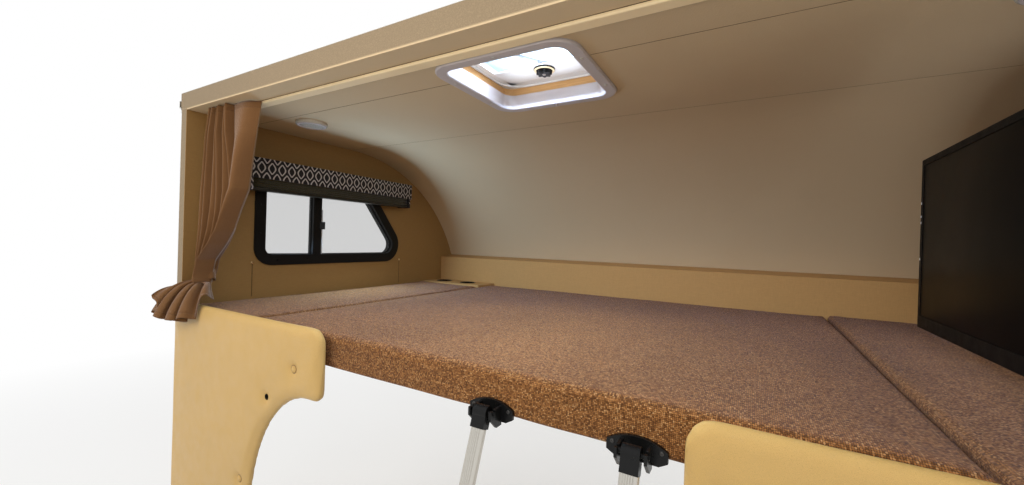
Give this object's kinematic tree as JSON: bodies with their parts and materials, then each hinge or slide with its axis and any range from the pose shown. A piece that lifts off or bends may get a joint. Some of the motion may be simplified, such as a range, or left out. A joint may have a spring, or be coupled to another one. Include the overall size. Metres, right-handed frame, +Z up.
{
  "type": "motorhome over-cab sleeping compartment",
  "caption": "Hollow over-cab sleeping compartment of a motorhome, open to the rear: lifting bunk with cushions, hook-on ladder, side windows, roof vent and television.",
  "frame": {"origin": "on the floor's underside, where it seats on the cab roof, on the vehicle's centre line, 1.0 m ahead of the compartment's rear edge", "axes": "+X to the vehicle's right, +Y forwards, +Z up"},
  "size_m": [2.578, 2.2095, 2.242],
  "materials": {
    "gelcoat": "glossy moulded plastic",
    "roof_skin": "smooth roof membrane",
    "wall_laminate": "laminate, linen-look wallboard inside",
    "floor_board": "plywood laminate",
    "plywood": "birch plywood",
    "framing_wood": "planed softwood",
    "steel": "black paint",
    "hinge_steel": "zinc plated",
    "headliner": "vinyl-faced panel",
    "trim_cream": "cream moulding",
    "linen_board": "linen-look board",
    "tweed": "brown and tan tweed",
    "vinyl": "padded cream vinyl",
    "curtain_cloth": "khaki curtain cloth",
    "shade_cloth": "pleated olive shade",
    "valance_cloth": "patterned cloth on board",
    "black_plastic": "black",
    "white_plastic": "white",
    "black_frame": "black powder coat",
    "window_glass": "tinted glass",
    "ladder_aluminium": "satin anodised",
    "foot_rubber": "black rubber",
    "lamp_lens": "frosted white lens",
    "marker_lens": "amber lens",
    "screen_mesh": "grey mesh",
    "tv_gloss": "glossy black"
  },
  "bodies": {
    "compartment": {"floor": "floor_board", "opening_frame": "steel", "roof": "roof_skin", "nose_cap": "gelcoat", "nose_liner": "headliner", "ceiling_panels": "headliner", "ceiling_trim": "trim_cream", "upstand": "linen_board", "cup_ledge": "linen_board", "cup_holders": "black_plastic", "bunk_hinge_fixed": "hinge_steel", "curtain": "curtain_cloth", "ceiling_lights": "lamp_lens", "marker_lights": "marker_lens", "drip_rails": "ladder_aluminium", "vent_framing": "framing_wood", "vent_garnish": "white_plastic", "vent_base": "white_plastic", "vent_screen": "screen_mesh", "vent_crank": "black_plastic", "tv_arm": "steel", "side_wall_left": "wall_laminate", "side_wall_right": "wall_laminate", "side_board_left": "plywood", "side_board_right": "plywood", "side_cushion_left": "tweed", "side_cushion_right": "tweed", "cheek_left": "vinyl", "cheek_right": "vinyl", "window_frame_left": "black_frame", "window_frame_right": "black_frame", "window_glass_left": "window_glass", "window_glass_right": "window_glass", "window_latch_left": "black_plastic", "window_latch_right": "black_plastic", "valance_left": "valance_cloth", "valance_right": "valance_cloth", "shade_left": "shade_cloth", "shade_right": "shade_cloth"},
    "bunk": {"centre_cushion": "tweed", "centre_deck": "plywood", "bunk_hinge_moving": "hinge_steel", "ladder_brackets": "black_plastic"},
    "ladder": {"ladder_rails": "ladder_aluminium", "ladder_rungs": "ladder_aluminium", "ladder_caps": "black_plastic", "ladder_feet": "foot_rubber"},
    "vent_lid": {"vent_lid": "white_plastic"},
    "television": {"tv_panel": "tv_gloss", "tv_bracket": "steel"}
  },
  "joints": [
    {"name": "bunk_lift", "type": "hinge", "parent": "compartment", "child": "bunk", "pos_m": [0, 0.3964, 0.056], "axis": [-1, 0, 0], "range_deg": [0, 22]},
    {"name": "ladder_swing", "type": "hinge", "parent": "bunk", "child": "ladder", "pos_m": [0.241, -1.026, 0.0673], "axis": [-1, 0, 0], "range_deg": [0, 55]},
    {"name": "vent_lid_hinge", "type": "hinge", "parent": "compartment", "child": "vent_lid", "pos_m": [0, -0.901, 0.9133], "axis": [1, 0, 0], "range_deg": [0, 60]},
    {"name": "tv_tilt", "type": "hinge", "parent": "compartment", "child": "television", "pos_m": [0.983, -0.597, 0.4223], "axis": [0, -1, 0], "range_deg": [-5, 15]}
  ]
}
